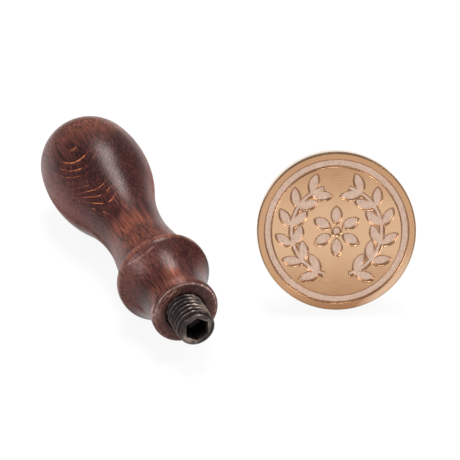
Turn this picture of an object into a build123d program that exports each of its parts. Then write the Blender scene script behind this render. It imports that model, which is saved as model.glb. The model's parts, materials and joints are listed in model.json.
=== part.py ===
from build123d import *
import math
import os

# Wax seal stamp: a turned wooden handle, the set screw that is its threaded stud, and the brass seal head.
# The head is unscrewed and lies beside the handle, face towards the viewer, as when seals are changed.
# Millimetres. +Z is up and the table is Z = 0. The handle lies along Y, with its stud towards -Y.

# Handle: stations are distances from the flat end towards the ball, and each has its own radius
collar_radius = 6.95
rim_chamfer = 0.45
collar_length = 1.2
waist_station = 4.4
waist_radius = 6.75
bulge_station = 14.2
bulge_radius = 9.72
bulge_crest_radius = 4.0
shoulder_radius = 1.3
flare_station = 24.6
neck_station = 30.1
neck_radius = 6.45
neck_hollow_radius = 39.5
ball_station = 57.3
ball_radius = 11.05
ball_side_radius = 36.0
ball_end_length = 15.5

# Stud: an M8 socket set screw, plain at its major diameter outside and at its pitch diameter in the wood
thread_major_radius = 3.9
thread_pitch_radius = 3.6
stud_standing_out = 7.0
stud_in_wood = 13.0
stud_end_chamfer = 0.6
hex_sides = 6
hex_across_flats = 4.4
hex_depth = 4.5
hex_corner_degrees = 30.0
thread_clearance = 0.05
hole_end_room = 0.6
hole_mouth_radius = 4.3
hole_mouth_depth = 0.6

# Seal head: one brass turning, with its back boss tapped for the stud
seal_radius = 16.25
flange_thickness = 4.8
flange_edge_chamfer = 0.3
boss_radius = 9.5
boss_cove_radius = 4.5
boss_edge_chamfer = 0.5
head_height = 22.4
tapped_radius = 3.38
tapped_depth = 12.0
tapped_mouth_chamfer = 0.6
drill_point_height = 1.9

# Engraving: a round border groove with sloping walls, and a wreath of leaves round a small flower
engraving_depth = 0.9
rim_land_width = 1.45
border_width = 1.55
border_wall_slope = 0.3
wreath_from_border = 4.05
wreath_stem_width = 1.1
wreath_opening_degrees = 32.0
wreath_pairs_each_side = 6
first_pair_share = 0.25
leaf_length = 4.4
leaf_width = 2.1
leaf_lean_degrees = 36.0
leaf_root_depth = 0.3
flower_petals = 6
first_petal_degrees = 90.0
petal_length = 3.9
petal_width = 2.3
petal_inner_radius = 1.35
flower_eye_radius = 0.95

# Places on the table
head_side_offset = 35.4
head_face_from_end = 7.8
head_turn_degrees = -18.9

# Worked out from the sizes above
handle_length = ball_station + ball_end_length
hole_radius = thread_pitch_radius + thread_clearance
border_outer_radius = seal_radius - rim_land_width
border_inner_radius = border_outer_radius - border_width
wreath_radius = border_inner_radius - wreath_from_border
half_turn = 180
quarter_turn = 90


def touching_point(hollow, rounded, rounded_radius):
    """Where a hollow arc, lowest at its point, touches a rounded arc of known radius, highest at its own.
    Both centres lie straight across from those points, so only one sum of the radii lets the arcs touch."""
    climb = rounded.X - hollow.X
    run = rounded.Y - hollow.Y
    radius_sum = (run**2 + climb**2) / (2 * climb)
    hollow_radius = radius_sum - rounded_radius
    hollow_centre = hollow + Vector(hollow_radius, 0)
    rounded_centre = rounded - Vector(rounded_radius, 0)
    return hollow_centre + (rounded_centre - hollow_centre) * (hollow_radius / radius_sum)


def turned_profile():
    """The handle's half section, as radius and station: arcs that run on from the collar to the pole."""
    pole = Vector(0, handle_length)
    collar_edge = Vector(collar_radius, rim_chamfer)
    collar_end = Vector(collar_radius, collar_length)
    waist = Vector(waist_radius, waist_station)
    bulge = Vector(bulge_radius, bulge_station)
    neck = Vector(neck_radius, neck_station)
    ball = Vector(ball_radius, ball_station)

    shoulder_end = bulge + Vector(-shoulder_radius, shoulder_radius)
    flare_run = neck_station - flare_station
    flare_depth = math.sqrt(neck_hollow_radius**2 - flare_run**2)
    flare_start = Vector(neck_radius + neck_hollow_radius - flare_depth, flare_station)
    flare_length = flare_station - shoulder_end.Y
    shoulder_foot = Vector(flare_start.X + flare_length * flare_run / flare_depth, shoulder_end.Y)

    ball_side_excess = ball_side_radius - ball_radius
    crown_radius = (ball_side_radius**2 - ball_side_excess**2 - ball_end_length**2) / (
        2 * (ball_side_radius - ball_end_length)
    )
    ball_side_centre = ball - Vector(ball_side_radius, 0)
    crown_centre = pole - Vector(0, crown_radius)
    crown_start = crown_centre + (crown_centre - ball_side_centre).normalized() * crown_radius

    with BuildLine() as profile:
        Polyline(pole, (0, 0), (collar_radius - rim_chamfer, 0), collar_edge, collar_end)
        TangentArc(waist, collar_end, tangent=(0, -1))
        waist_run = touching_point(waist, bulge, bulge_crest_radius)
        TangentArc(waist, waist_run, tangent=(0, 1))
        TangentArc(bulge, waist_run, tangent=(0, -1))
        TangentArc(bulge, shoulder_end, tangent=(0, 1))
        Polyline(shoulder_end, shoulder_foot, flare_start)
        TangentArc(neck, flare_start, tangent=(0, -1))
        neck_run = touching_point(neck, ball, ball_side_radius)
        TangentArc(neck, neck_run, tangent=(0, 1))
        ThreePointArc(neck_run, ball, crown_start)
        TangentArc(pole, crown_start, tangent=(1, 0))
    return profile.line


def handle_solid():
    """The turned handle, standing on its flat end, with the countersunk blind hole that takes the stud."""
    with BuildPart() as handle:
        with BuildSketch(Plane.XZ):
            add(turned_profile())
            make_face()
        revolve(axis=Axis.Z)
        with Locations((0, 0, (stud_in_wood + hole_end_room) / 2)):
            Cylinder(hole_radius, stud_in_wood + hole_end_room, mode=Mode.SUBTRACT)
        with Locations((0, 0, hole_mouth_depth / 2)):
            Cone(hole_mouth_radius, hole_radius, hole_mouth_depth, mode=Mode.SUBTRACT)
    return handle.part


def stud_solid():
    """The set screw on the handle's axis: it stands out below the flat end and is sunk in the wood."""
    tip = -stud_standing_out
    with BuildPart() as stud:
        with BuildSketch(Plane.XZ):
            with BuildLine():
                Polyline(
                    (0, tip),
                    (thread_major_radius - stud_end_chamfer, tip),
                    (thread_major_radius, tip + stud_end_chamfer),
                    (thread_major_radius, 0),
                    (thread_pitch_radius, 0),
                    (thread_pitch_radius, stud_in_wood - stud_end_chamfer),
                    (thread_pitch_radius - stud_end_chamfer, stud_in_wood),
                    (0, stud_in_wood),
                    close=True,
                )
            make_face()
        revolve(axis=Axis.Z)
        with BuildSketch(Plane.XY.offset(tip)):
            RegularPolygon(hex_across_flats / 2, hex_sides, major_radius=False, rotation=hex_corner_degrees)
        extrude(amount=hex_depth, mode=Mode.SUBTRACT)
    return stud.part


def leaf_face(length, width):
    """A pointed leaf along +X from the origin, bounded by two equal arcs."""
    with BuildSketch() as leaf:
        with BuildLine():
            ThreePointArc((0, 0), (length / 2, width / 2), (length, 0))
            ThreePointArc((length, 0), (length / 2, -width / 2), (0, 0))
        make_face()
    return leaf.sketch


def wreath_leaf_places():
    """Where each leaf starts and which way it points: pairs along both branches, rooted in the stem."""
    half_opening = wreath_opening_degrees / 2
    step = (half_turn - 2 * half_opening) / wreath_pairs_each_side
    places = []
    for branch in (1, -1):
        for pair in range(wreath_pairs_each_side):
            along = -quarter_turn + branch * (half_opening + (pair + first_pair_share) * step)
            heading = along + branch * quarter_turn
            for side in (1, -1):
                radius = wreath_radius + side * (wreath_stem_width / 2 - leaf_root_depth)
                point = (radius * math.cos(math.radians(along)), radius * math.sin(math.radians(along)))
                places.append(Location((*point, 0), (0, 0, heading - branch * side * leaf_lean_degrees)))
    return places


def engraving_sketch():
    """The recessed design: two leafy branches that rise from the bottom, and a flower in the middle."""
    leaf = leaf_face(leaf_length, leaf_width)
    petal = leaf_face(petal_length, petal_width)
    branch_sweep = half_turn - wreath_opening_degrees
    with BuildSketch() as design:
        for bottom in (-quarter_turn, quarter_turn):
            start = bottom + wreath_opening_degrees / 2
            with BuildLine():
                stem = CenterArc((0, 0), wreath_radius, start, branch_sweep)
            trace(stem, line_width=wreath_stem_width)
        for place in wreath_leaf_places():
            add(place * leaf)
        with PolarLocations(petal_inner_radius, flower_petals, start_angle=first_petal_degrees):
            add(petal)
        Circle(flower_eye_radius)
    return design.sketch


def head_solid():
    """The seal head, face up at Z = 0, with its boss below."""
    back = -head_height
    with BuildPart() as head:
        with BuildSketch(Plane.XZ):
            with BuildLine():
                Polyline(
                    (0, back + tapped_depth + drill_point_height),
                    (0, 0),
                    (border_inner_radius, 0),
                    (border_inner_radius + border_wall_slope, -engraving_depth),
                    (border_outer_radius - border_wall_slope, -engraving_depth),
                    (border_outer_radius, 0),
                    (seal_radius - flange_edge_chamfer, 0),
                    (seal_radius, -flange_edge_chamfer),
                    (seal_radius, flange_edge_chamfer - flange_thickness),
                    (seal_radius - flange_edge_chamfer, -flange_thickness),
                    (boss_radius + boss_cove_radius, -flange_thickness),
                )
                RadiusArc(
                    (boss_radius + boss_cove_radius, -flange_thickness),
                    (boss_radius, -flange_thickness - boss_cove_radius),
                    -boss_cove_radius,
                )
                Polyline(
                    (boss_radius, -flange_thickness - boss_cove_radius),
                    (boss_radius, back + boss_edge_chamfer),
                    (boss_radius - boss_edge_chamfer, back),
                    (tapped_radius + tapped_mouth_chamfer, back),
                    (tapped_radius, back + tapped_mouth_chamfer),
                    (tapped_radius, back + tapped_depth),
                    (0, back + tapped_depth + drill_point_height),
                )
            make_face()
        revolve(axis=Axis.Z)
        add(engraving_sketch())
        extrude(amount=-engraving_depth, mode=Mode.SUBTRACT)
    return head.part


def handle_place():
    """The handle rests on its ball and its bulge, so its axis rises a little towards the ball."""
    rise = math.asin((ball_radius - bulge_radius) / (ball_station - bulge_station))
    end_height = bulge_radius * math.cos(rise) - bulge_station * math.sin(rise)
    return Plane((0, 0, end_height), x_dir=(1, 0, 0), z_dir=(0, math.cos(rise), math.sin(rise)))


def head_place():
    """The head rests on the back edges of its flange and its boss, which sets how far its face looks up."""
    flange_contact = flange_thickness - flange_edge_chamfer
    boss_contact = head_height - boss_edge_chamfer
    look_up = math.atan((seal_radius - boss_radius) / (boss_contact - flange_contact))
    turn = math.radians(head_turn_degrees)
    facing = (math.sin(turn) * math.cos(look_up), -math.cos(turn) * math.cos(look_up), math.sin(look_up))
    face_height = seal_radius * math.cos(look_up) + flange_contact * math.sin(look_up)
    centre = (head_side_offset, head_face_from_end, face_height)
    return Plane(centre, x_dir=(math.cos(turn), math.sin(turn), 0), z_dir=facing)


pieces = {
    "wooden_handle": handle_place().location * handle_solid(),
    "threaded_stud": handle_place().location * stud_solid(),
    "seal_head": head_place().location * head_solid(),
}

# The origin is on the table, under the middle of the whole set
boxes = [solid.bounding_box() for solid in pieces.values()]
middle_x = (min(box.min.X for box in boxes) + max(box.max.X for box in boxes)) / 2
middle_y = (min(box.min.Y for box in boxes) + max(box.max.Y for box in boxes)) / 2
lowest_z = min(box.min.Z for box in boxes)
to_origin = Location((-middle_x, -middle_y, -lowest_z))

os.makedirs("parts", exist_ok=True)
for name, solid in pieces.items():
    export_step(to_origin * solid, f"parts/{name}.step")
    print(name, solid.is_valid, round(solid.volume, 1))
for plane, label in ((handle_place(), "handle end"), (head_place(), "seal face")):
    placed = to_origin * plane.location
    print(label, placed.position, Plane(placed).z_dir)
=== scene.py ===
import functools
import json
import math
from typing import NamedTuple

import bpy
import numpy as np
from mathutils import Matrix, Vector


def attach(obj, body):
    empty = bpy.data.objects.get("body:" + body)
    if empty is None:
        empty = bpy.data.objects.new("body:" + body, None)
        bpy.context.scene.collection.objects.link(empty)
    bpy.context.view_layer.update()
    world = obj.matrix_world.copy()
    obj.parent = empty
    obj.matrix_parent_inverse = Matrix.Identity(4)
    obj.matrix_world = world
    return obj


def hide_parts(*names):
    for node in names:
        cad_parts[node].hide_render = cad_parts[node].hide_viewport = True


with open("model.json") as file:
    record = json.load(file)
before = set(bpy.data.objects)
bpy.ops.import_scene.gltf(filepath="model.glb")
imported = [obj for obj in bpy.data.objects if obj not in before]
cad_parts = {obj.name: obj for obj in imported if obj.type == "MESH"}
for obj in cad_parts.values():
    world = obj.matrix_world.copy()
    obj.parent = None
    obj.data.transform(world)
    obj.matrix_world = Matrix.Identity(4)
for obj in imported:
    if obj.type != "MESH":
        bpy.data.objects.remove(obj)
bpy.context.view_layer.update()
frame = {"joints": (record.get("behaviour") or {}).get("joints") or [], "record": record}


# Places, read from the frame. Lengths are in millimetres unless a name says otherwise

MM = 0.001
UP = (0, 0, 1)
FULL_TURN = 2 * math.pi
mounts = {mount["name"]: mount for mount in frame["record"]["mounts"]}
joints = {joint["name"]: joint for joint in frame["joints"]}


def axis_frame(origin, forward, across):
    """A right-handed frame as a 4x4 array: its third axis is forward, and its first is across, made
    square to it."""
    third = np.array(forward, float) / np.linalg.norm(forward)
    first = np.array(across, float) - np.dot(across, third) * third
    first /= np.linalg.norm(first)
    matrix = np.eye(4)
    matrix[:3, 0], matrix[:3, 1], matrix[:3, 2] = first, np.cross(third, first), third
    matrix[:3, 3] = origin
    return matrix


stud_mount = mounts["stud_thread"]
stud_out = np.array(stud_mount["axis"])
handle_end = np.array(stud_mount["pos_m"]) - stud_out * stud_mount["dims"]["length_mm"] / 2 * MM
head_joint = joints["head_turn"]
HANDLE_FRAME = axis_frame(handle_end, -stud_out, (1, 0, 0))
HEAD_FRAME = axis_frame(head_joint["pos_m"], head_joint["axis"], np.cross(UP, head_joint["axis"]))


# Sizes

# Handle: (station from the flat end, radius) of each turning point, and the arcs between them
COLLAR_RADIUS, RIM_CHAMFER, COLLAR_LENGTH = 6.95, 0.45, 1.2
END_EDGE_BAND = 1.6 * RIM_CHAMFER
WAIST = (4.4, 6.75)
BULGE = (14.2, 9.72)
BULGE_RIDGE = (13.45, 9.70)
BULGE_RIDGE_RADIUS = 1.6
SHOULDER_RADIUS = 1.3
FLARE_STATION = 24.6
NECK = (30.1, 6.45)
NECK_HOLLOW_RADIUS = 39.5
BALL = (57.3, 11.05)
BALL_SIDE_RADIUS = 36.0
BALL_END_LENGTH = 15.5
HANDLE_LENGTH = BALL[0] + BALL_END_LENGTH
HOLE_RADIUS, HOLE_MOUTH_RADIUS, HOLE_MOUTH_DEPTH, HOLE_DEPTH = 3.95, 4.3, 0.6, 13.6
HANDLE_COLUMNS = 192
HANDLE_SHARP_DEGREES = 14

# Stud: the M8 thread, the chamfered tip and the hexagon socket
THREAD_MAJOR, THREAD_MINOR, THREAD_PITCH = 3.9, 3.24, 1.25
CREST_FLAT, ROOT_FLAT = 1 / 8, 1 / 4
STUD_OUT, STUD_IN, TIP_CHAMFER = 7.0, 13.0, 0.6
SOCKET_FLATS, SOCKET_DEPTH, SOCKET_LIP, SOCKET_POINT = 4.4, 4.5, 0.12, 0.6
SOCKET_MOUTH_SHARE, SOCKET_TAPER_SHARE, SOCKET_TAPER_START = 1.04, 0.97, 0.6
STUD_COLUMNS, STUD_ROWS_A_PITCH = 120, 14
STUD_SHARP_DEGREES = 40

# Head: the turned body, and the engraving of its face
SEAL_RADIUS, FLANGE, FLANGE_CHAMFER = 16.25, 4.8, 0.3
CHAMFER_IN, CHAMFER_DOWN = 0.4 * FLANGE_CHAMFER, 0.25 * FLANGE_CHAMFER  # a point that rounds it
BOSS_RADIUS, BOSS_COVE, BOSS_CHAMFER, HEAD_HEIGHT = 9.5, 4.5, 0.5, 22.4
TAPPED_RADIUS, TAPPED_DEPTH, TAPPED_MOUTH, TAPPED_LAND, DRILL_POINT = 3.38, 12.0, 0.6, 0.3, 1.9
ENGRAVING_DEPTH, ENGRAVING_WALL, EDGE_BEVEL, EDGE_BEVEL_SHARE = 0.9, 0.22, 0.09, 0.07
WALL_EASED_SHARE = 0.55
BORDER_OUTER, BORDER_WIDTH = 14.8, 1.55
WREATH_RADIUS, WREATH_STEM, WREATH_OPENING, WREATH_PAIRS = 9.2, 1.1, 32.0, 6
LEAF_LENGTH, LEAF_WIDTH, LEAF_LEAN, LEAF_ROOT = 4.4, 2.1, 36.0, 0.3
PETALS, PETAL_LENGTH, PETAL_WIDTH, PETAL_START, FLOWER_EYE = 6, 3.9, 2.3, 1.35, 0.95
FACE_CENTRE, FLOWER_ZONE, WREATH_ZONE = 0.12, 5.4, 5.5
FACE_COLUMNS, BACK_COLUMNS = 600, 200
HEAD_SHARP_DEGREES = 30


# How the handle is worn, and the painted sheen, highlights and shade on it

class Patch(NamedTuple):
    """A soft patch on the handle: its strength, its station and length along the axis, and its turn
    about the axis and its width, both in radians. Without a station it runs the whole length, and
    without a turn all round."""
    amount: float
    station: float = 0.0
    length: float = math.inf
    turn: float = 0.0
    width: float = math.inf


# Turns are counted from the side that the hand wears most
WORN_SIDE = math.radians(-120)

# Stain worn thin by the hand; the cove and collar patches on the stripe are a painted highlight
RUBBED_STAIN_AND_HIGHLIGHT = (
    Patch(0.62, 27.0, 3.8, 0.08, 1.0),   # neck
    Patch(0.30, 19.0, 3.0, 0.50, 0.9),   # behind the shoulder
    Patch(0.35, 20.0, 2.5, -0.30, 0.45),
    Patch(0.18, 12.0, 3.0, -0.60, 1.0),  # front of the bulge
    Patch(0.50, 3.2, 1.9, -0.45, 0.3),   # waist
    # A painted highlight on the cove, along the highlight's stripe
    Patch(0.80, 5.0, 3.0, 0.38, 0.22),
    # The collar's two patches are a painted highlight, strongest on the same stripe
    Patch(0.20, 1.5, 1.3),               # collar
    Patch(0.50, 1.5, 1.3, 0.40, 0.25),
    Patch(0.60, 61.5, 4.5, 0.80, 0.9),   # ball
    Patch(0.40, 70.0, 5.0),
)
POLE_RUBBED = 0.3
# Painted sheen: pale pink patches on the ball's sides, the bulge, the waist, the collar and behind
# the shoulder
PAINTED_SHEEN_PATCHES = (
    Patch(0.9, 52.0, 14.0, -1.15, 0.38),  # sides of the ball
    Patch(0.8, 47.0, 13.0, 1.70, 0.3),
    Patch(0.5, 12.5, 4.0, -0.50, 0.8),    # front of the bulge
    Patch(0.3, 6.5, 3.0, 1.50, 0.3),      # waist
    Patch(1.5, 1.6, 1.3, 0.38, 0.22),     # collar
)
PAINTED_SHOULDER_SHEEN = (Patch(0.8, 22.5, 5.5, 1.30, 0.35), Patch(0.5, 22.5, 5.5, -0.85, 0.35))
SHOULDER_SHEEN_START = 16.0
DULLED_FRONT = (Patch(0.85, 8.5, 6.0, 1.60, 0.5), Patch(1.0, 8.5, 6.0, -1.45, 0.45))
DULLED_SIDES = (Patch(1.0, turn=-1.35, width=0.6), Patch(1.0, turn=1.75, width=0.65))
DULLED_SIDES_START = 17.5
# Dark patches, partly stain and partly painted shade
STAIN_AND_PAINTED_SHADE = (
    Patch(1.00, 9.0, 4.0, 1.08, 0.28),    # front of the bulge
    Patch(1.50, 32.6, 2.2, -0.12, 0.17),  # neck
    Patch(0.60, 44.5, 5.5, 0.00, 0.4),    # ball
    Patch(0.55, 51.0, 7.0, 1.00, 0.25),
)
FLECKED = (
    Patch(1.00, 51.0, 3.2, -0.15, 0.38),  # ball
    Patch(1.00, 39.5, 4.5, -0.28, 0.4),
    Patch(0.36, 9.0, 3.0, -0.70, 0.4),    # front of the bulge
)
# A pale rub along the lip of the bulge, and a scuff before it that bends up to it on both sides
LIP_STATION, LIP_WIDTH = BULGE[0] - 0.2, 0.85
SCUFF_STATION, SCUFF_TURN, SCUFF_BEND = 11.8, -0.05, 0.45
SCUFFED = (Patch(1.0, turn=-0.32, width=0.2), Patch(0.55, turn=0.08, width=0.22))
NO_SCUFF = 9.0
# The rim of the flat end, worn pale in places and lit by a painted highlight, and the painted shade
# and scratches on that end
RIM_EDGE_WIDTH = 0.17
RIM_WEAR_AND_HIGHLIGHT = (Patch(0.25), Patch(0.6, turn=-0.35, width=0.6), Patch(1.1, turn=1.2, width=0.8))
# A painted highlight along one side of the collar's edge
COLLAR_EDGE_HIGHLIGHT = (Patch(0.9, 0.6, 0.6, -0.90, 0.22),)
COLLAR_HIGHLIGHT_RADIUS = HOLE_MOUTH_RADIUS + 1
SHADE_WIDTH = 2.0
SHADE_NARROWED = (Patch(1.3, turn=-1.0, width=0.9), Patch(0.5, turn=2.2, width=0.7))
SHADED_SIDE = (Patch(0.6, turn=0.8, width=0.6),)
SCRATCHED_END = (Patch(1.0, turn=-0.1, width=0.42),)
SCRATCHED_RADIUS, SCRATCHED_WIDTH = 5.7, 0.8
FLAT_END_DEPTH = 0.1
# Before the neck, the grain follows the outline's swelling by this share
GRAIN_DRAWN_SHARE = 0.55


# How worn the stud is, from 0 to 1, with painted highlights on two sides and painted shade in the
# socket

STUD_UPPER_SIDE, STUD_UPPER_WIDTH = math.radians(310), 0.27
STUD_LOWER_SIDE, STUD_LOWER_WIDTH = math.radians(120), 0.24
CREST_WEAR, CREST_HIGHLIGHT_UPPER, FLANK_HIGHLIGHT_UPPER = 0.75, 0.25, 0.3
TIP_CONE_WEAR, TIP_CONE_TOLERANCE = 0.85, 0.02
RING_WEAR, RING_HIGHLIGHT_UPPER, RING_REFLECTION_LOWER = 0.62, 0.2, 0.36
SOCKET_SHADE = ((0.66,), (0.5,), (0.42,))


# View of the photograph

PHOTO_PIXELS = 460
SENSOR_WIDTH = 36.0
CAMERA_AZIMUTH, CAMERA_ELEVATION = -19.93, 29.27
CAMERA_DISTANCE_M = 0.700
CAMERA_FOCAL_PIXELS = 3362.0
CAMERA_TARGET_M = (-0.0013, -0.00564, 0.010)


# Meshes

def band_faces(rows, columns, start=0):
    """Quads between neighbouring rows of a grid whose columns go round and close on themselves."""
    row, column = np.meshgrid(np.arange(rows - 1), np.arange(columns), indexing="ij")
    right = (column + 1) % columns
    here, above = row * columns, (row + 1) * columns
    quads = np.stack([here + column, here + right, above + right, above + column], -1)
    return quads.reshape(-1, 4) + start


def cap_faces(ring_start, columns, pole, outward):
    """Triangles from one ring of the grid to the pole that closes it."""
    column = np.arange(columns)
    right = (column + 1) % columns
    ends = (column, right) if outward else (right, column)
    return np.stack([ring_start + ends[0], ring_start + ends[1], np.full(columns, pole)], -1)


def soften_edges(mesh, soft_points):
    """Takes the sharp mark off every edge whose two ends are both among the first soft_points
    points."""
    ends = np.zeros(2 * len(mesh.edges), np.int32)
    mesh.edges.foreach_get("vertices", ends)
    marks = mesh.attributes["sharp_edge"].data
    sharp = np.zeros(len(mesh.edges), bool)
    marks.foreach_get("value", sharp)
    marks.foreach_set("value", sharp & (ends.reshape(-1, 2).max(1) >= soft_points))


def put_piece(name, points_mm, faces, place, body, node, attributes, sharp_degrees,
              soft_points=0):
    """Makes one mesh piece from points in its own frame, puts it at its place, and lets it stand
    for its node. Edges bent more than sharp_degrees stay sharp, but not among the first soft_points
    points."""
    points = points_mm * MM @ place[:3, :3].T + place[:3, 3]
    mesh = bpy.data.meshes.new(name)
    mesh.from_pydata(points.tolist(), [], [face for group in faces for face in group.tolist()])
    for label, values in attributes.items():
        layer = mesh.attributes.new(label, "FLOAT", "POINT")
        layer.data.foreach_set("value", np.ascontiguousarray(values, np.float32))
    mesh.polygons.foreach_set("use_smooth", np.ones(len(mesh.polygons), bool))
    mesh.set_sharp_from_angle(angle=math.radians(sharp_degrees))
    if soft_points and "sharp_edge" in mesh.attributes:
        soften_edges(mesh, soft_points)
    mesh.validate()
    mesh.update()
    piece = bpy.data.objects.new(name, mesh)
    bpy.context.scene.collection.objects.link(piece)
    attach(piece, body)
    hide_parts(node)
    return piece


def round_angles(columns):
    """The angle of each column, once round without the last."""
    return np.linspace(0, FULL_TURN, columns, endpoint=False)


def turned_points(radius, height, columns):
    """A profile carried round the third axis: x = r cos a, y = r sin a, z = h, with r and h by row
    and column."""
    angle = round_angles(columns)
    radius = np.asarray(radius, float).reshape(len(radius), -1)
    height = np.asarray(height, float).reshape(len(height), -1)
    x, y, z = np.broadcast_arrays(radius * np.cos(angle), radius * np.sin(angle), height)
    return np.stack([x, y, z], -1).reshape(-1, 3)


# Handle

def straight_run(first, last, count):
    """Points along a straight line from one (station, radius) to the next, without the last."""
    u = np.linspace(0, 1, count, endpoint=False)
    return first[0] + u * (last[0] - first[0]), first[1] + u * (last[1] - first[1])


def arc_run(centre, first, last, count):
    """Points along a circle about a centre from one (station, radius) to the next, without the
    last."""
    start = math.atan2(first[1] - centre[1], first[0] - centre[0])
    sweep = math.remainder(math.atan2(last[1] - centre[1], last[0] - centre[0]) - start, FULL_TURN)
    angle = start + sweep * np.linspace(0, 1, count, endpoint=False)
    radius = math.dist(centre, first)
    return centre[0] + radius * np.cos(angle), centre[1] + radius * np.sin(angle)


def level_arc_radius(lowest, end):
    """Radius of the arc that is level at its lowest point and passes through an end: the chord
    squared over twice the climb."""
    return math.dist(lowest, end) ** 2 / (2 * (end[1] - lowest[1]))


def touching_point(hollow, rounded, rounded_radius):
    """Where a hollow arc, lowest at its point, touches a rounded arc of known radius, highest at
    its own: on the line between the two centres, which are as far apart as the sum of the radii."""
    radius_sum = level_arc_radius(hollow, rounded)
    share = (radius_sum - rounded_radius) / radius_sum
    hollow_centre_radius = hollow[1] + radius_sum - rounded_radius
    return (
        hollow[0] + (rounded[0] - hollow[0]) * share,
        hollow_centre_radius + (rounded[1] - rounded_radius - hollow_centre_radius) * share,
    )


def end_runs():
    """The hole's wall and countersunk mouth, then the flat end up to its rim."""
    edge_start, edge = COLLAR_RADIUS - END_EDGE_BAND, COLLAR_RADIUS - RIM_CHAMFER
    return [
        straight_run((HOLE_DEPTH, HOLE_RADIUS), (HOLE_MOUTH_DEPTH, HOLE_RADIUS), 4),
        straight_run((HOLE_MOUTH_DEPTH, HOLE_RADIUS), (0, HOLE_MOUTH_RADIUS), 3),
        straight_run((0, HOLE_MOUTH_RADIUS), (0, edge_start), 8),
        straight_run((0, edge_start), (0, edge), 4),
    ]


def bulge_runs():
    """The rounded rim, the collar, the hollow waist, the ridge of the bulge, and the shoulder that
    falls from it to a straight flare which runs on into the neck."""
    rim_start, rim_end = (0, COLLAR_RADIUS - RIM_CHAMFER), (RIM_CHAMFER, COLLAR_RADIUS)
    rim_centre = (RIM_CHAMFER, COLLAR_RADIUS - RIM_CHAMFER)
    collar_end = (COLLAR_LENGTH, COLLAR_RADIUS)
    collar_centre = (WAIST[0], WAIST[1] + level_arc_radius(WAIST, collar_end))
    cove_end = touching_point(WAIST, BULGE_RIDGE, BULGE_RIDGE_RADIUS)
    cove_centre = (WAIST[0], WAIST[1] + level_arc_radius(WAIST, cove_end))
    ridge_centre = (BULGE_RIDGE[0], BULGE_RIDGE[1] - BULGE_RIDGE_RADIUS)
    shoulder_centre = (BULGE[0], BULGE[1] - SHOULDER_RADIUS)
    shoulder_end = (BULGE[0] + SHOULDER_RADIUS, BULGE[1] - SHOULDER_RADIUS)
    neck_centre = (NECK[0], NECK[1] + NECK_HOLLOW_RADIUS)
    flare_run = NECK[0] - FLARE_STATION
    flare_depth = math.sqrt(NECK_HOLLOW_RADIUS**2 - flare_run**2)
    flare_start = (FLARE_STATION, neck_centre[1] - flare_depth)
    flare_climb = (FLARE_STATION - shoulder_end[0]) * flare_run / flare_depth
    shoulder_foot = (shoulder_end[0], flare_start[1] + flare_climb)
    return [
        arc_run(rim_centre, rim_start, rim_end, 6),
        straight_run(rim_end, collar_end, 3),
        arc_run(collar_centre, collar_end, WAIST, 8),
        arc_run(cove_centre, WAIST, cove_end, 18),
        arc_run(ridge_centre, cove_end, BULGE_RIDGE, 12),
        straight_run(BULGE_RIDGE, BULGE, 3),
        arc_run(shoulder_centre, BULGE, shoulder_end, 10),
        straight_run(shoulder_end, shoulder_foot, 2),
        straight_run(shoulder_foot, flare_start, 12),
        arc_run(neck_centre, flare_start, NECK, 12),
    ]


def ball_runs():
    """The far side of the neck, the ball's long side arc that it touches, and the crown arc about a
    centre on the axis, which touches the side arc where the line of their centres meets it."""
    neck_end = touching_point(NECK, BALL, BALL_SIDE_RADIUS)
    neck_centre = (NECK[0], NECK[1] + level_arc_radius(NECK, neck_end))
    side_centre = (BALL[0], BALL[1] - BALL_SIDE_RADIUS)
    crown_reach = BALL_SIDE_RADIUS**2 - side_centre[1] ** 2 - BALL_END_LENGTH**2
    crown_radius = crown_reach / (2 * (BALL_SIDE_RADIUS - BALL_END_LENGTH))
    crown_centre = (HANDLE_LENGTH - crown_radius, 0.0)
    reach = BALL_SIDE_RADIUS / math.dist(side_centre, crown_centre)
    crown_start = (
        side_centre[0] + (crown_centre[0] - side_centre[0]) * reach,
        side_centre[1] + (crown_centre[1] - side_centre[1]) * reach,
    )
    return [
        arc_run(neck_centre, NECK, neck_end, 30),
        arc_run(side_centre, neck_end, crown_start, 36),
        arc_run(crown_centre, crown_start, (HANDLE_LENGTH, 0.0), 36),
    ]


def joined_runs(runs):
    """The stations and the radii of several runs, one after the other."""
    return np.concatenate([run[0] for run in runs]), np.concatenate([run[1] for run in runs])


def near(value, middle, spread):
    """A soft bump: 1 at the middle, falling away on both sides over the spread."""
    return np.exp(-(((value - middle) / spread) ** 2))


def patched(patches, along, turn):
    """The sum of soft patches, each its amount times a bump along the axis times a bump round
    it."""
    return sum(
        amount * near(along, station, length) * near(turn, middle, width)
        for amount, station, length, middle, width in patches
    )


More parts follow.
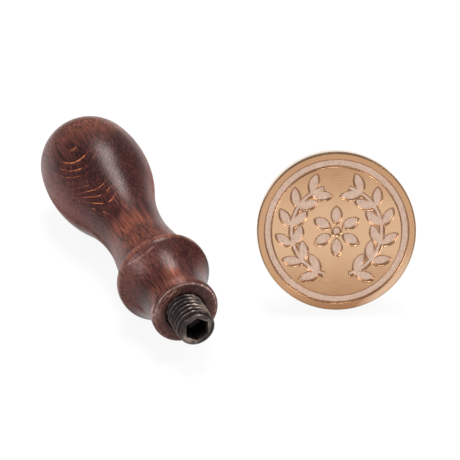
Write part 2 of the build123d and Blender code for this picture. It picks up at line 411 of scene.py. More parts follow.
def handle_wear_and_light(station, radius, end_rows):
    """What the wood's finish reads at each point, with painted sheen, highlights and shade among
    it:
    sums of soft patches over station and turn. The first end_rows rows are the hole and the flat
    end, and the others are the outer side."""
    turn = ((round_angles(HANDLE_COLUMNS) - WORN_SIDE + math.pi) % FULL_TURN - math.pi)[None]
    along, radius = station[:, None], radius[:, None]
    outer = 1.0 * (np.arange(len(station)) >= end_rows)[:, None]
    rubbed_and_lit = np.clip(patched(RUBBED_STAIN_AND_HIGHLIGHT, along, turn), 0, 1)
    shoulder_sheen = patched(PAINTED_SHOULDER_SHEEN, along, turn) * (along > SHOULDER_SHEEN_START)
    past_bulge = 1 / (1 + np.exp(DULLED_SIDES_START - along))
    dulled = patched(DULLED_SIDES, along, turn) * past_bulge + patched(DULLED_FRONT, along, turn)
    rim_edge = near(radius, COLLAR_RADIUS - RIM_CHAMFER, RIM_EDGE_WIDTH) * (along < RIM_CHAMFER)
    collar_highlight = patched(COLLAR_EDGE_HIGHLIGHT, along, turn) * (radius > COLLAR_HIGHLIGHT_RADIUS)
    shade_width = SHADE_WIDTH - patched(SHADE_NARROWED, along, turn)
    hole_shade = 1 - np.clip((radius - HOLE_MOUTH_RADIUS) / shade_width, 0, 1)
    scratched_ring = near(radius, SCRATCHED_RADIUS, SCRATCHED_WIDTH) * (along < FLAT_END_DEPTH)
    drawn_in = 1 - GRAIN_DRAWN_SHARE + GRAIN_DRAWN_SHARE * NECK[1] / radius

    def on_points(values, hole_bottom=0.0, pole=0.0):
        """Values by row and column as one list, then those of the points that close the hole and
        the ball."""
        grid = np.broadcast_to(values, (len(station), HANDLE_COLUMNS))
        return np.append(grid, [hole_bottom, pole])

    return {
        "grain_share": on_points(np.where((along < NECK[0]) & (outer > 0), drawn_in, 1.0), 1, 1),
        # Stain worn thin, with a painted highlight on the cove and collar
        "worn_stain_and_highlight": on_points(rubbed_and_lit * outer, pole=POLE_RUBBED),
        "flecked": on_points(np.clip(patched(FLECKED, along, turn), 0, 1) * outer),
        "end_grain": on_points(1 - outer, hole_bottom=1),
        "dulled": on_points(np.clip(dulled, 0, 1) * outer),
        # Painted sheen
        "painted_sheen": on_points((patched(PAINTED_SHEEN_PATCHES, along, turn) + shoulder_sheen) * outer),
        # Dark patches, partly stain and partly painted shade
        "dark_stain_and_shade": on_points(patched(STAIN_AND_PAINTED_SHADE, along, turn) * outer),
        "lip_line": on_points(near(along, LIP_STATION, LIP_WIDTH)),
        "scuff_distance": on_points(
            along - SCUFF_STATION - ((turn - SCUFF_TURN) / SCUFF_BEND) ** 2, NO_SCUFF, NO_SCUFF
        ),
        "scuffed": on_points(patched(SCUFFED, along, turn) * outer),
        "end_shade": on_points(
            np.maximum(hole_shade, patched(SHADED_SIDE, along, turn)) * (1 - outer), hole_bottom=1
        ),
        # Pale rim and collar edge, partly worn and partly a painted highlight
        "worn_and_lit_rim": on_points(rim_edge * patched(RIM_WEAR_AND_HIGHLIGHT, along, turn) + collar_highlight),
        "worn_end": on_points(scratched_ring * patched(SCRATCHED_END, along, turn)),
    }


def handle_piece():
    """The turned handle: its profile carried round the axis, closed at the ball's pole and the
    hole's bottom."""
    end = end_runs()
    station, radius = joined_runs(end + bulge_runs() + ball_runs())
    points = turned_points(radius, station, HANDLE_COLUMNS)
    hole_bottom, pole = len(points), len(points) + 1
    points = np.vstack([points, [[0, 0, HOLE_DEPTH], [0, 0, HANDLE_LENGTH]]])
    faces = [
        band_faces(len(radius), HANDLE_COLUMNS),
        cap_faces(0, HANDLE_COLUMNS, hole_bottom, outward=False),
        cap_faces((len(radius) - 1) * HANDLE_COLUMNS, HANDLE_COLUMNS, pole, outward=True),
    ]
    wear_and_light = handle_wear_and_light(station, radius, end_rows=len(joined_runs(end)[0]))
    return put_piece("turned_handle", points, faces, HANDLE_FRAME, "handle",
                     "wooden_handle", wear_and_light, HANDLE_SHARP_DEGREES)


# Stud

def thread_height(turns):
    """Height of a metric thread, 0 at the root and 1 at the crest, by turns along the axis: a flat
    crest of an eighth of the pitch, 60 degree flanks, and a flat root of a quarter."""
    phase = np.abs((turns % 1.0) - 0.5) * 2
    return np.clip((phase - ROOT_FLAT) / (1 - ROOT_FLAT - CREST_FLAT), 0, 1)


def hexagon_radius(angle, flats):
    """Distance from the centre to the side of a hexagon, at each angle: half the width over flats,
    over the cosine of the angle from the middle of the flat."""
    return flats / 2 / np.cos(((angle + math.pi / 6) % (math.pi / 3)) - math.pi / 6)


def stud_piece():
    """The set screw: a helical thread as a radius over angle and length, cut off by the cone of the
    tip, then the ring of the tip and the hexagon socket in it."""
    angle = round_angles(STUD_COLUMNS)
    rows = int((STUD_IN + STUD_OUT) / THREAD_PITCH * STUD_ROWS_A_PITCH)
    height = np.linspace(STUD_IN, -STUD_OUT, rows)[:, None]
    crest = thread_height(height / THREAD_PITCH + angle / FULL_TURN)
    tip_cone = THREAD_MAJOR - TIP_CHAMFER + (height + STUD_OUT)
    thread = np.minimum(THREAD_MINOR + (THREAD_MAJOR - THREAD_MINOR) * crest, tip_cone)
    hexagon = hexagon_radius(angle, SOCKET_FLATS)
    tip_edge, socket_edge = thread[-1], hexagon * SOCKET_MOUTH_SHARE
    ring = np.stack([tip_edge + (socket_edge - tip_edge) * u for u in (0.35, 0.7, 1.0)])
    socket = np.stack([hexagon, hexagon, hexagon * SOCKET_TAPER_SHARE])
    socket_depths = [SOCKET_LIP, SOCKET_DEPTH * SOCKET_TAPER_START, SOCKET_DEPTH]
    heights = np.concatenate([height[:, 0], -STUD_OUT + np.array([0] * len(ring) + socket_depths)])
    points = turned_points(np.vstack([thread, ring, socket]), heights, STUD_COLUMNS)
    inner, floor = len(points), len(points) + 1
    points = np.vstack([points, [[0, 0, STUD_IN], [0, 0, -STUD_OUT + SOCKET_DEPTH + SOCKET_POINT]]])
    faces = [
        band_faces(len(heights), STUD_COLUMNS)[:, ::-1],
        cap_faces(0, STUD_COLUMNS, inner, outward=True),
        cap_faces((len(heights) - 1) * STUD_COLUMNS, STUD_COLUMNS, floor, outward=False),
    ]
    # Painted highlights on the upper side and on the tip ring's lower side
    upper = near(np.cos(angle - STUD_UPPER_SIDE), 1.0, STUD_UPPER_WIDTH)[None]
    lower = near(np.cos(angle - STUD_LOWER_SIDE), 1.0, STUD_LOWER_WIDTH)[None]
    side_wear_and_highlight = np.where(thread >= tip_cone - TIP_CONE_TOLERANCE, TIP_CONE_WEAR, crest)
    side_wear_and_highlight = side_wear_and_highlight * (CREST_WEAR + CREST_HIGHLIGHT_UPPER * upper) + FLANK_HIGHLIGHT_UPPER * upper
    ring_wear_and_highlight = RING_WEAR + RING_HIGHLIGHT_UPPER * upper + RING_REFLECTION_LOWER * lower
    ring_wear_and_highlight = np.repeat(ring_wear_and_highlight, len(ring), 0)
    socket_shade = np.repeat(SOCKET_SHADE, STUD_COLUMNS, 1)
    wear_and_light = np.clip(np.vstack([side_wear_and_highlight, ring_wear_and_highlight, socket_shade]), 0, 1)
    return put_piece("cut_stud", points, faces, HANDLE_FRAME, "stud",
                     "threaded_stud", {"crest": np.append(wear_and_light, [0, 0])}, STUD_SHARP_DEGREES)


# Engraving: each shape is a signed distance in the plane of the face, positive inside

def pointed_leaf(x, y, start, heading, length, width):
    """A leaf between two equal arcs: the lesser of the distances to the edges of the two discs that
    overlap in it."""
    along = (x - start[0]) * math.cos(heading) + (y - start[1]) * math.sin(heading) - length / 2
    off = -(x - start[0]) * math.sin(heading) + (y - start[1]) * math.cos(heading)
    disc = (length**2 + width**2) / (4 * width)
    lift = disc - width / 2
    return np.minimum(disc - np.hypot(along, off + lift), disc - np.hypot(along, off - lift))


def wreath_distance(x, y):
    """Two leafy branches that rise from the bottom: the nearest of the stem arcs and the leaf pairs
    along them."""
    from_bottom = np.abs((np.degrees(np.arctan2(y, x)) + 90 + 180) % 360 - 180)
    half_opening = WREATH_OPENING / 2
    in_sweep = (from_bottom > half_opening) & (from_bottom < 180 - half_opening)
    nearest = np.where(in_sweep, WREATH_STEM / 2 - np.abs(np.hypot(x, y) - WREATH_RADIUS), -1.0)
    step = (180 - 2 * half_opening) / WREATH_PAIRS
    for branch in (1, -1):
        for pair in range(WREATH_PAIRS):
            along = math.radians(-90 + branch * (half_opening + (pair + 0.25) * step))
            for side in (1, -1):
                radius = WREATH_RADIUS + side * (WREATH_STEM / 2 - LEAF_ROOT)
                start = (radius * math.cos(along), radius * math.sin(along))
                heading = along + branch * math.radians(90 - side * LEAF_LEAN)
                leaf = pointed_leaf(x, y, start, heading, LEAF_LENGTH, LEAF_WIDTH)
                nearest = np.maximum(nearest, leaf)
    return nearest


def flower_distance(x, y):
    """Petals set round a small round eye."""
    nearest = FLOWER_EYE - np.hypot(x, y)
    for heading in math.pi / 2 + np.arange(PETALS) * FULL_TURN / PETALS:
        start = (PETAL_START * math.cos(heading), PETAL_START * math.sin(heading))
        petal = pointed_leaf(x, y, start, heading, PETAL_LENGTH, PETAL_WIDTH)
        nearest = np.maximum(nearest, petal)
    return nearest


def engraving(x, y):
    """How far each point of the face is cut down, from 0 to 1: a fine bevel, then sloping walls
    from the edge of each shape, eased at top and bottom."""
    distance = BORDER_WIDTH / 2 - np.abs(np.hypot(x, y) - (BORDER_OUTER - BORDER_WIDTH / 2))
    distance = np.maximum(distance, np.maximum(wreath_distance(x, y), flower_distance(x, y)))
    bevel = np.clip(1 + distance / EDGE_BEVEL, 0, 1)
    wall = np.clip(distance / ENGRAVING_WALL, 0, 1)
    eased = (1 - WALL_EASED_SHARE) * wall + WALL_EASED_SHARE * wall * wall * (3 - 2 * wall)
    return EDGE_BEVEL_SHARE * bevel + (1 - EDGE_BEVEL_SHARE) * eased


# Head

def face_radii():
    """Radii of the face's rings: even steps over the flower and the wreath, close ones at the walls
    of the border groove, then the plain rim."""
    bevel_steps, wall_steps = np.array([-1.2, -1.0, -0.5]), np.array([0, 0.25, 0.5, 0.75, 1.0, 1.3])
    wall = np.concatenate([bevel_steps * EDGE_BEVEL, wall_steps * ENGRAVING_WALL])
    border_inner = BORDER_OUTER - BORDER_WIDTH
    rim_edge = SEAL_RADIUS - FLANGE_CHAMFER
    return np.concatenate([
        np.linspace(FACE_CENTRE, FLOWER_ZONE, 30),
        np.linspace(WREATH_ZONE, border_inner - 0.2, 80),
        border_inner + wall,
        BORDER_OUTER - wall[::-1],
        [BORDER_OUTER + 0.2, rim_edge - 0.1, rim_edge],
    ])


def back_rows():
    """Radius and height of the turned rows behind the flange: its back edge, the cove, the boss,
    and the tapped hole with a thread cut out of its wall."""
    cove = np.linspace(0, math.pi / 2, 14)
    cove_radius = BOSS_RADIUS + BOSS_COVE - BOSS_COVE * np.sin(cove)
    cove_height = -FLANGE - BOSS_COVE + BOSS_COVE * np.cos(cove)
    boss_height = np.linspace(-FLANGE - BOSS_COVE, BOSS_CHAMFER - HEAD_HEIGHT, 4)[1:]
    wall_height = np.linspace(-HEAD_HEIGHT + TAPPED_MOUTH, -HEAD_HEIGHT + TAPPED_DEPTH, 54)
    turns = round_angles(BACK_COLUMNS) / FULL_TURN
    ridge = thread_height(wall_height[:, None] / THREAD_PITCH + turns)
    wall_radius = TAPPED_RADIUS + (THREAD_MAJOR - TAPPED_RADIUS) * (1 - ridge)
    mouth_radius = TAPPED_RADIUS + TAPPED_MOUTH + TAPPED_LAND
    plain_radius = np.concatenate([
        [SEAL_RADIUS - FLANGE_CHAMFER],
        cove_radius,
        [BOSS_RADIUS] * len(boss_height),
        [BOSS_RADIUS - BOSS_CHAMFER, mouth_radius],
    ])
    radius = np.vstack([np.repeat(plain_radius[:, None], BACK_COLUMNS, 1), wall_radius])
    back_heights = [-HEAD_HEIGHT, -HEAD_HEIGHT]
    height = np.concatenate([[-FLANGE], cove_height, boss_height, back_heights, wall_height])
    return radius, height


def seam_faces(edge_start, back_start):
    """Faces between the fine last ring of the flange and the coarse first ring behind it: for each
    coarse column, a fan of triangles and one quad."""
    ratio = FACE_COLUMNS // BACK_COLUMNS
    column = np.arange(BACK_COLUMNS)
    here, right = back_start + column, back_start + (column + 1) % BACK_COLUMNS
    edge = [edge_start + (column * ratio + k) % FACE_COLUMNS for k in range(ratio + 1)]
    fan = [np.stack([edge[k], here, edge[k + 1]], -1) for k in range(ratio - 1)]
    return fan + [np.stack([edge[ratio - 1], here, right, edge[ratio]], -1)]


def head_piece():
    """The seal head: the engraved face as a height over radius and angle, then the flange, cove,
    boss and tapped hole as turned rows."""
    angle = round_angles(FACE_COLUMNS)
    face_radius = face_radii()[:, None]
    cut = engraving(face_radius * np.cos(angle), face_radius * np.sin(angle))
    flange_radius = [SEAL_RADIUS - CHAMFER_IN, SEAL_RADIUS, SEAL_RADIUS, SEAL_RADIUS]
    flange_height = [-CHAMFER_DOWN, -FLANGE_CHAMFER, -FLANGE / 2, FLANGE_CHAMFER - FLANGE]
    front_radius = np.concatenate([face_radius[:, 0], flange_radius])
    flange_rows = np.repeat(np.array(flange_height)[:, None], FACE_COLUMNS, 1)
    front_height = np.vstack([-ENGRAVING_DEPTH * cut, flange_rows])
    front = turned_points(front_radius, front_height, FACE_COLUMNS)
    back_radius, back_height = back_rows()
    back = turned_points(back_radius, back_height, BACK_COLUMNS)
    back_start, centre = len(front), len(front) + len(back)
    drill = centre + 1
    points = np.vstack([
        front, back, [[0, 0, -ENGRAVING_DEPTH], [0, 0, -HEAD_HEIGHT + TAPPED_DEPTH + DRILL_POINT]],
    ])
    last_ring = back_start + (len(back_height) - 1) * BACK_COLUMNS
    faces = [
        band_faces(len(front_radius), FACE_COLUMNS)[:, ::-1],
        cap_faces(0, FACE_COLUMNS, centre, outward=True),
        *seam_faces(back_start - FACE_COLUMNS, back_start),
        band_faces(len(back_height), BACK_COLUMNS, back_start)[:, ::-1],
        cap_faces(last_ring, BACK_COLUMNS, drill, outward=False),
    ]
    chamfer = slice(cut.size, cut.size + FACE_COLUMNS)
    cut_share, side, rim = np.zeros(len(points)), np.ones(len(points)), np.zeros(len(points))
    cut_share[:cut.size] = cut.ravel()
    cut_share[centre] = 1.0
    side[:chamfer.stop] = 0.0
    side[centre] = 0.0
    rim[:cut.size] = np.repeat(np.clip(face_radius - BORDER_OUTER, 0, 1), FACE_COLUMNS)
    rim[chamfer] = 1.0
    return put_piece("engraved_head", points, faces, HEAD_FRAME, "head", "seal_head",
                     {"cut": cut_share, "side": side, "rim": rim}, HEAD_SHARP_DEGREES,
                     soft_points=cut.size - FACE_COLUMNS)


# Materials

class Finish:
    """A material under construction: short words for making nodes and joining them."""

    def __init__(self, name):
        self.material = bpy.data.materials.new(name)
        self.material.use_nodes = True
        self.tree = self.material.node_tree
        self.shader = self.tree.nodes["Principled BSDF"]

    def feed(self, socket, value):
        """Joins a socket to another one, or gives it a plain value."""
        if isinstance(value, bpy.types.NodeSocket):
            self.tree.links.new(value, socket)
        else:
            socket.default_value = value

    def node(self, kind, inputs, **settings):
        """A new node with its settings made and its inputs, by name or number, fed."""
        made = self.tree.nodes.new(kind)
        for key, value in settings.items():
            setattr(made, key, value)
        for socket, value in inputs.items():
            self.feed(made.inputs[socket], value)
        return made

    def local(self, place):
        """Object coordinates, brought into a piece's own frame and counted in millimetres."""
        place = Matrix(place.tolist())
        inputs = {
            "Vector": self.node("ShaderNodeTexCoord", {}).outputs["Object"],
            "Location": place.to_translation(),
            "Rotation": place.to_euler("XYZ"),
            "Scale": (MM, MM, MM),
        }
        return self.node("ShaderNodeMapping", inputs, vector_type="TEXTURE").outputs["Vector"]

    def mapped(self, vector, stretch, shift=(0, 0, 0), turn=0.0):
        """A place turned about the third axis by an angle in degrees, then stretched, then
        shifted."""
        if turn:
            inputs = {"Vector": vector, "Rotation": (0, 0, math.radians(turn))}
            vector = self.node("ShaderNodeMapping", inputs).outputs["Vector"]
        inputs = {"Vector": vector, "Scale": stretch, "Location": shift}
        return self.node("ShaderNodeMapping", inputs).outputs["Vector"]

    def drawn_in(self, vector, share):
        """A place whose distance from the third axis is scaled by a share, so that grain follows a
        swelling outline."""
        kind = "ShaderNodeVectorMath"
        across = self.node(kind, {0: vector, 1: (1, 1, 0)}, operation="MULTIPLY").outputs[0]
        scaled = self.node(kind, {0: across, "Scale": share}, operation="SCALE").outputs[0]
        upright = {0: vector, 1: (0, 0, 1), 2: scaled}
        return self.node(kind, upright, operation="MULTIPLY_ADD").outputs[0]

    def noise(self, vector, scale=1.0, detail=3.0, roughness=0.55):
        """Cloudy noise about a half, with finer clouds added by detail and roughness."""
        inputs = {"Vector": vector, "Scale": scale, "Detail": detail, "Roughness": roughness}
        return self.node("ShaderNodeTexNoise", inputs).outputs["Fac"]

    def remap(self, value, low, high, to_low=0.0, to_high=1.0):
        """A value carried evenly from one range to another, and held at the ends."""
        inputs = {"From Min": low, "From Max": high, "To Min": to_low, "To Max": to_high}
        return self.node("ShaderNodeMapRange", {"Value": value, **inputs}).outputs["Result"]

    def calc(self, operation, *values):
        """Arithmetic on one or two values."""
        return self.node("ShaderNodeMath", dict(enumerate(values)), operation=operation).outputs[0]

    def total(self, *values):
        """Values added together."""
        return functools.reduce(functools.partial(self.calc, "ADD"), values)

    def product(self, *values):
        """Values multiplied together."""
        return functools.reduce(functools.partial(self.calc, "MULTIPLY"), values)

    def mix(self, share, first, second):
        """A colour between two, by share. Inputs 6 and 7 and output 2 are the node's colours."""
        inputs = {"Factor": share, 6: first, 7: second}
        return self.node("ShaderNodeMix", inputs, data_type="RGBA").outputs[2]

    def attribute(self, name):
        """A number that the mesh holds at each point."""
        return self.node("ShaderNodeAttribute", {}, attribute_name=name).outputs["Fac"]

    def bump(self, height, strength, distance_mm):
        """Fine relief in the surface's shading."""
        inputs = {"Height": height, "Strength": strength, "Distance": distance_mm * MM}
        normal = self.node("ShaderNodeBump", inputs).outputs["Normal"]
        self.feed(self.shader.inputs["Normal"], normal)

    def finish(self, **sockets):
        """Feeds the shader's sockets, named with _ for a space, and gives the finished material."""
        for name, value in sockets.items():
            self.feed(self.shader.inputs[name.replace("_", " ")], value)
        return self.material


# Wood

WOOD_DARK = (0.0120, 0.0044, 0.0045, 1)
WOOD_MID = (0.0580, 0.0158, 0.0136, 1)
WOOD_WARM = (0.1520, 0.0470, 0.0380, 1)
WOOD_WORN_AND_HIGHLIGHT = (0.3300, 0.0950, 0.0500, 1)
WOOD_FLECK = (0.4700, 0.1500, 0.0640, 1)
LIP_RUB = (0.3000, 0.1000, 0.0500, 1)
# The colour of the painted sheen
PAINTED_SHEEN_COLOUR = (0.2300, 0.1050, 0.0970, 1)
SCUFF_PALE = (0.4200, 0.2400, 0.2050, 1)
END_DARK = (0.0470, 0.0185, 0.0155, 1)
END_PALE = (0.1360, 0.0560, 0.0460, 1)
SCRATCH_TAN = (0.5600, 0.3300, 0.2200, 1)
RIM_PALE_AND_HIGHLIGHT = (0.6200, 0.4000, 0.3600, 1)
LACQUER_TINT = (1.0, 0.80, 0.76, 1)
DULLED_TINT = (1.0, 0.52, 0.44, 1)

# The pith of the tree, in the handle's frame, far off the worn side, and the layers round it
PITH_PLACE = (19.0, 29.4, 0.0)
LAYER_SPACING = 0.5
# How the grain's patterns are stretched: across the axis they are fine, and along it they are long
PATCH_STRETCH = (0.17, 0.17, 0.06)
STREAK_STRETCH = (4.6, 4.6, 0.17)
PORE_STRETCH = (4.4, 4.4, 0.10)
RUB_STRETCH = (5.0, 5.0, 0.17)
SCRATCH_STRETCH = (0.30, 6.0, 0.5)


def growth_layers(wood, place):
    """Growth layers: a saw wave over the distance from the pith, from 0 to 1 across each layer,
    wavered a little."""
    from_pith = wood.mapped(place, (1, 1, 0.05), shift=tuple(-c for c in PITH_PLACE))
    waver = {"Distortion": 1.6, "Detail": 1.0, "Detail Scale": 0.25}
    inputs = {"Vector": from_pith, "Scale": math.pi / 10 / LAYER_SPACING, **waver}
    rings = {"wave_type": "RINGS", "rings_direction": "Z", "wave_profile": "SAW"}
    return wood.node("ShaderNodeTexWave", inputs, **rings).outputs["Fac"]


def stain(wood, place, streaks, layer):
    """Stain from dark to warm by a tone: the sum of cloudy patches, fine streaks and growth
    layers."""
    patches = wood.noise(wood.mapped(place, PATCH_STRETCH), detail=2.0)
    tone = wood.total(
        wood.remap(patches, 0.32, 0.68, -0.10, 0.31),
        wood.remap(streaks, 0.34, 0.66, -0.12, 0.56),
        wood.remap(layer, 0.0, 1.0, -0.05, 0.1),
    )
    ramp = wood.node("ShaderNodeValToRGB", {"Fac": tone})
    ramp.color_ramp.elements[0].color = WOOD_DARK
    ramp.color_ramp.elements[1].color = WOOD_WARM
    ramp.color_ramp.elements.new(0.5).color = WOOD_MID
    return ramp.outputs["Color"]


def hand_wear_and_light(wood, place, grain, colour):
    """Stain worn thin along the grain and on the lip, with a painted highlight on the cove and
    collar, painted sheen, dark patches that are partly stain and partly painted shade, and the
    scuff: a broken line where the distance from it is small."""
    fine_grain = wood.noise(wood.mapped(grain, RUB_STRETCH, shift=(4, 2, 1)), detail=2.0)
    rubbed_and_lit = wood.product(wood.attribute("worn_stain_and_highlight"), wood.remap(fine_grain, 0.36, 0.62))
    # Worn stain, and a painted highlight on the cove and collar
    colour = wood.mix(rubbed_and_lit, colour, WOOD_WORN_AND_HIGHLIGHT)
    on_lip = wood.remap(wood.attribute("lip_line"), 0.3, 1.0, 0.0, 0.55)
    lip_rub = wood.product(on_lip, wood.remap(fine_grain, 0.38, 0.58, 0.3, 1.0))
    colour = wood.mix(lip_rub, colour, LIP_RUB)
    # Painted sheen, where the mesh holds it
    colour = wood.mix(wood.product(wood.attribute("painted_sheen"), 0.5), colour, PAINTED_SHEEN_COLOUR)
    # Dark patches, partly stain and partly painted shade
    colour = wood.mix(wood.product(wood.attribute("dark_stain_and_shade"), 0.5), colour, WOOD_DARK)
    breaks = wood.noise(wood.mapped(place, (1.1, 1.1, 1.1), shift=(2, 5, 1)), detail=2.0)
    line = wood.remap(wood.calc("ABSOLUTE", wood.attribute("scuff_distance")), 0.30, 0.08)
    scuff = wood.product(line, wood.remap(breaks, 0.36, 0.56, 0.15, 0.6), wood.attribute("scuffed"))
    return wood.mix(scuff, colour, SCUFF_PALE)


def flecks(wood, place, layer, colour):
    """Bright flecks: a thin share of each growth layer, broken by noise, where the mesh says that
    it is flecked."""
    breaks = wood.noise(wood.mapped(place, (0.34, 0.34, 0.34), shift=(3, 1, 2)), detail=1.0)
    fleck = wood.product(
        wood.remap(layer, 0.84, 0.90),
        wood.remap(layer, 0.985, 0.955),
        wood.remap(breaks, 0.42, 0.54),
        wood.remap(wood.attribute("flecked"), 0.15, 0.6),
    )
    return wood.mix(fleck, colour, WOOD_FLECK)


def end_face(wood, place, colour):
    """The flat end: mottled end grain, painted shade round the hole and on one side, scratched on
    one side, and pale along its rim and the collar's edge, partly worn and partly a painted
    highlight."""
    mottled = wood.remap(wood.noise(place, 1.4, 3.0, 0.6), 0.35, 0.65)
    end_colour = wood.mix(mottled, END_DARK, END_PALE)
    on_end = wood.remap(wood.attribute("end_grain"), 0.0, 1.0, 0.0, 0.85)
    colour = wood.mix(on_end, colour, end_colour)
    shade = wood.remap(wood.attribute("end_shade"), 0.0, 1.0, 0.0, 0.76)
    colour = wood.mix(shade, colour, WOOD_DARK)
    scratches = wood.noise(wood.mapped(place, SCRATCH_STRETCH, turn=45), detail=2.0)
    scratched = wood.product(wood.attribute("worn_end"), wood.remap(scratches, 0.55, 0.60))
    colour = wood.mix(scratched, colour, SCRATCH_TAN)
    rubs = wood.remap(wood.noise(place, 1.6, 3.0, 0.7), 0.44, 0.58, 0.25, 0.8)
    # Pale rim, partly worn and partly a painted highlight that is strongest on one side
    return wood.mix(wood.product(wood.attribute("worn_and_lit_rim"), rubs), colour, RIM_PALE_AND_HIGHLIGHT)


def stained_wood():
    """Dark stain over close-grained wood: growth layers round a far pith, fine streaks and pores
    along the grain, stain worn thin where the hand wears it, painted sheen, highlights and shade,
    and bright flecks where a layer is cut at a shallow angle."""
    wood = Finish("stained_lacquered_wood")
    place = wood.local(HANDLE_FRAME)
    grain = wood.drawn_in(place, wood.attribute("grain_share"))
    streaks = wood.noise(wood.mapped(grain, STREAK_STRETCH), detail=2.0, roughness=0.5)
    pores = wood.noise(wood.mapped(grain, PORE_STRETCH), detail=1.0, roughness=0.5)
    layer = growth_layers(wood, place)
    colour = stain(wood, place, streaks, layer)
    colour = hand_wear_and_light(wood, place, grain, colour)
    colour = flecks(wood, place, layer, colour)
    colour = wood.mix(wood.remap(pores, 0.54, 0.68, 0.0, 0.75), colour, WOOD_DARK)
    colour = end_face(wood, place, colour)
    wood.bump(wood.total(streaks, pores), 0.16, 0.12)
    dulled = wood.attribute("dulled")
    return wood.finish(
        Base_Color=colour,
        Roughness=wood.remap(pores, 0.3, 0.7, 0.25, 0.34),
        Specular_IOR_Level=wood.remap(dulled, 0.0, 1.0, 0.20, 0.0),
        Specular_Tint=LACQUER_TINT,
        Sheen_Weight=wood.remap(dulled, 0.2, 1.0, 0.0, 0.20),
        Sheen_Roughness=0.45,
        Sheen_Tint=DULLED_TINT,
    )


# Steel

STEEL_BLACK = (0.0210, 0.0150, 0.0145, 1)
STEEL_GREY = (0.0430, 0.0310, 0.0300, 1)
STEEL_ROOT_SHADE = (0.0100, 0.0070, 0.0065, 1)
STEEL_BARE_AND_HIGHLIGHT = (0.3700, 0.2920, 0.2450, 1)


def blackened_steel():
    """Black oxide on steel, with painted shade in the thread's roots and down the socket, worn
    paler along its crests and the edge of the tip, and painted highlights on the upper side and the
    tip ring."""
    steel = Finish("blackened_steel")
    place = steel.local(HANDLE_FRAME)
    mottle = steel.noise(place, 2.2, 4.0)
    rub = steel.noise(steel.mapped(place, (0.45, 0.45, 0.3), shift=(1.0, 2.0, 0.5)), detail=1.0)
    crest = steel.attribute("crest")
    colour = steel.mix(steel.remap(mottle, 0.3, 0.7), STEEL_BLACK, STEEL_GREY)
    # Painted shade in the thread's roots and down the socket, where the mesh's value is low
    colour = steel.mix(steel.remap(crest, 0.8, 0.0, 0.0, 0.65), colour, STEEL_ROOT_SHADE)
    # Worn paler on crests and the tip, with painted highlights on the upper side and the ring
    bare_and_lit = steel.product(steel.remap(crest, 0.55, 1.0), steel.remap(rub, 0.35, 0.65, 0.1, 1.0))
    colour = steel.mix(bare_and_lit, colour, STEEL_BARE_AND_HIGHLIGHT)
    steel.bump(mottle, 0.12, 0.1)
    roughness = steel.remap(mottle, 0.3, 0.7, 0.30, 0.44)
    return steel.finish(Base_Color=colour, Metallic=0.8, Roughness=roughness)


# Brass

BRASS_MIDDLE = (0.545, 0.343, 0.206, 1)
BRASS_FAR_SHADE = (0.370, 0.200, 0.105, 1)
BRASS_BRUSHED = (0.640, 0.425, 0.268, 1)
BRASS_RIM_SHADE = (0.450, 0.256, 0.140, 1)
BRASS_RIM_HIGHLIGHT = (0.620, 0.420, 0.285, 1)
BRASS_LOWER_SHADE = (0.270, 0.125, 0.058, 1)
BRASS_SIDE = (0.740, 0.560, 0.400, 1)
CUT_EDGE = (0.880, 0.660, 0.480, 1)
CUT_CORNER_SHADE = (0.380, 0.190, 0.100, 1)
CUT_FLOOR_DARK = (0.580, 0.400, 0.300, 1)
CUT_FLOOR_PALE = (0.740, 0.550, 0.440, 1)


def brushed_field_and_reflection(brass, place, brushing):
    """The uncut face: a painted reflection, pale across its middle and darker towards its top and
    bottom, with brush marks, a rim in painted shade with a painted highlight at the lower right,
    and a lower edge in painted shade."""
    cloud = brass.noise(place, 0.16, 2.0)
    across = brass.node("ShaderNodeSeparateXYZ", {0: place}).outputs
    height = across["Y"]
    off_middle = brass.total(
        brass.calc("ABSOLUTE", height),
        brass.remap(cloud, 0.3, 0.7, -1.4, 1.4),
        brass.remap(height, -5.0, -9.0, 0.0, 1.5),
    )
    rim = brass.remap(brass.attribute("rim"), 0.0, 0.25, 0.0, 0.8)
    lower_right = brass.remap(brass.calc("SUBTRACT", across["X"], height), 19.0, 21.6)
    # Painted reflection: paler across the middle, darker above and below
    field = brass.mix(brass.remap(off_middle, 4.0, 13.0), BRASS_MIDDLE, BRASS_FAR_SHADE)
    field = brass.mix(brass.remap(brushing, 0.40, 0.66, 0.0, 0.30), field, BRASS_BRUSHED)
    # Painted shade on the rim land
    field = brass.mix(rim, field, BRASS_RIM_SHADE)
    # Painted shade along the lower edge
    field = brass.mix(brass.remap(height, -12.0, -15.5, 0.0, 0.8), field, BRASS_LOWER_SHADE)
    # Painted highlight on the rim at the lower right
    return brass.mix(brass.product(lower_right, rim), field, BRASS_RIM_HIGHLIGHT)


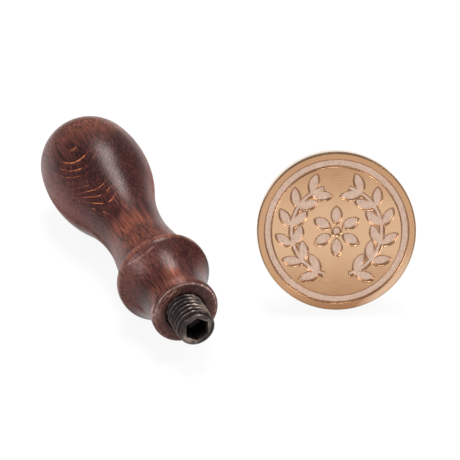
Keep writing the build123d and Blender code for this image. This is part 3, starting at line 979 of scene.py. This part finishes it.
def engraved_brass():
    """Brushed brass: a warm brushed field with a painted reflection on it, bright edges, painted
    shade in the cuts' corners and matte pale floors in the engraving, and a smoother turned side."""
    brass = Finish("engraved_brass")
    place = brass.local(HEAD_FRAME)
    brushing = brass.noise(brass.mapped(place, (0.4, 7.0, 1.0), turn=8))
    milling = brass.noise(brass.mapped(place, (6.0, 0.9, 1.0), turn=-20), detail=2.0)
    depth, side = brass.attribute("cut"), brass.attribute("side")
    on_floor = brass.remap(depth, 0.88, 0.99)
    floor = brass.mix(brass.remap(milling, 0.35, 0.65), CUT_FLOOR_DARK, CUT_FLOOR_PALE)
    field = brushed_field_and_reflection(brass, place, brushing)
    colour = brass.mix(brass.remap(depth, 0.1, 0.5), field, CUT_EDGE)
    colour = brass.mix(on_floor, colour, floor)
    # Painted shade low in the walls of the cuts
    corner_shade = brass.product(brass.remap(depth, 0.45, 0.75), brass.remap(depth, 0.99, 0.90), 0.7)
    colour = brass.mix(corner_shade, colour, CUT_CORNER_SHADE)
    colour = brass.mix(side, colour, BRASS_SIDE)
    roughness = brass.total(
        brass.remap(on_floor, 0.0, 1.0, 0.24, 0.42),
        brass.remap(brushing, 0.3, 0.7, -0.05, 0.06),
        brass.remap(side, 0.0, 1.0, 0.0, -0.11),
    )
    brass.bump(brass.total(brushing, brass.product(milling, on_floor)), 0.10, 0.05)
    return brass.finish(Base_Color=colour, Metallic=1.0, Roughness=roughness)


# Stage, light and camera

FLOOR_HALF_M = 20.0
FLOOR_GREY = (0.86, 0.86, 0.86, 1)
FLOOR_GLOW_SHARE = 0.9
WHITE = (1, 1, 1, 1)
WORLD_STRENGTH = 0.30
# Name, azimuth and elevation in degrees, distance and size in metres, power in watts
SOFT_BOXES = (
    ("back_soft_box", 163, 70, 0.9, (0.31, 0.62), 9.6),
    ("left_soft_box", -85, 30, 1.0, (0.45, 0.40), 4.6),
    ("front_soft_box", 43, 49, 1.0, (0.36, 0.26), 3.6),
    ("front_card", -19, 12, 1.0, (0.8, 0.5), 1.35),
)


def floor_paint():
    """Pale paint that keeps a soft shadow, and is otherwise white to the eye and in reflections: a
    share of plain glow for the rays that see it, and grey paint for the rest."""
    paint = Finish("pale_floor")
    paint.tree.nodes.remove(paint.shader)
    path = paint.node("ShaderNodeLightPath", {}).outputs
    seen = paint.calc("MAXIMUM", path["Is Camera Ray"], path["Is Glossy Ray"])
    seen = paint.calc("MAXIMUM", seen, path["Is Transmission Ray"])
    grey = paint.node("ShaderNodeBsdfDiffuse", {"Color": FLOOR_GREY}).outputs[0]
    glow = paint.node("ShaderNodeEmission", {"Color": WHITE}).outputs[0]
    share = paint.product(seen, FLOOR_GLOW_SHARE)
    mixed = paint.node("ShaderNodeMixShader", {0: share, 1: grey, 2: glow}).outputs[0]
    paint.feed(paint.tree.nodes["Material Output"].inputs["Surface"], mixed)
    return paint.material


def pale_floor():
    """A flat square floor under the object."""
    corners = np.array([[-1, -1, 0], [1, -1, 0], [1, 1, 0], [-1, 1, 0]]) * FLOOR_HALF_M
    mesh = bpy.data.meshes.new("pale_floor")
    mesh.from_pydata(corners.tolist(), [], [(0, 1, 2, 3)])
    mesh.materials.append(floor_paint())
    floor = bpy.data.objects.new("pale_floor", mesh)
    bpy.context.scene.collection.objects.link(floor)


def look_from(name, data, azimuth, elevation, distance_m):
    """Stands a lamp or camera off the view's target: azimuth turns it from the front, elevation
    lifts it from the floor, and it looks back at the target."""
    holder = bpy.data.objects.new(name, data)
    bpy.context.scene.collection.objects.link(holder)
    a, e = math.radians(azimuth), math.radians(elevation)
    back = Vector((math.sin(a) * math.cos(e), -math.cos(a) * math.cos(e), math.sin(e)))
    holder.location = Vector(CAMERA_TARGET_M) + back * distance_m
    holder.rotation_euler = (-back).to_track_quat("-Z", "Y").to_euler()
    return holder


def studio():
    """An even white surround and soft rectangular lamps."""
    world = bpy.data.worlds.new("studio")
    bpy.context.scene.world = world
    world.use_nodes = True
    background = world.node_tree.nodes["Background"]
    background.inputs["Color"].default_value = WHITE
    background.inputs["Strength"].default_value = WORLD_STRENGTH
    for name, azimuth, elevation, distance_m, size_m, watts in SOFT_BOXES:
        lamp = bpy.data.lights.new(name, "AREA")
        lamp.shape = "RECTANGLE"
        lamp.size, lamp.size_y = size_m
        lamp.energy = watts
        look_from(name, lamp, azimuth, elevation, distance_m)


def photo_camera():
    """A long lens at the photograph's angle: focal length in pixels over the image width, on the
    sensor's width."""
    lens = bpy.data.cameras.new("photo_camera")
    lens.sensor_width = SENSOR_WIDTH
    lens.lens = CAMERA_FOCAL_PIXELS / PHOTO_PIXELS * SENSOR_WIDTH
    lens.clip_start, lens.clip_end = 0.05, 60.0
    bpy.context.scene.camera = look_from(
        "photo_camera", lens, CAMERA_AZIMUTH, CAMERA_ELEVATION, CAMERA_DISTANCE_M
    )


handle_piece().data.materials.append(stained_wood())
stud_piece().data.materials.append(blackened_steel())
head_piece().data.materials.append(engraved_brass())
pale_floor()
studio()
photo_camera()
bpy.context.scene.view_settings.view_transform = "Standard"
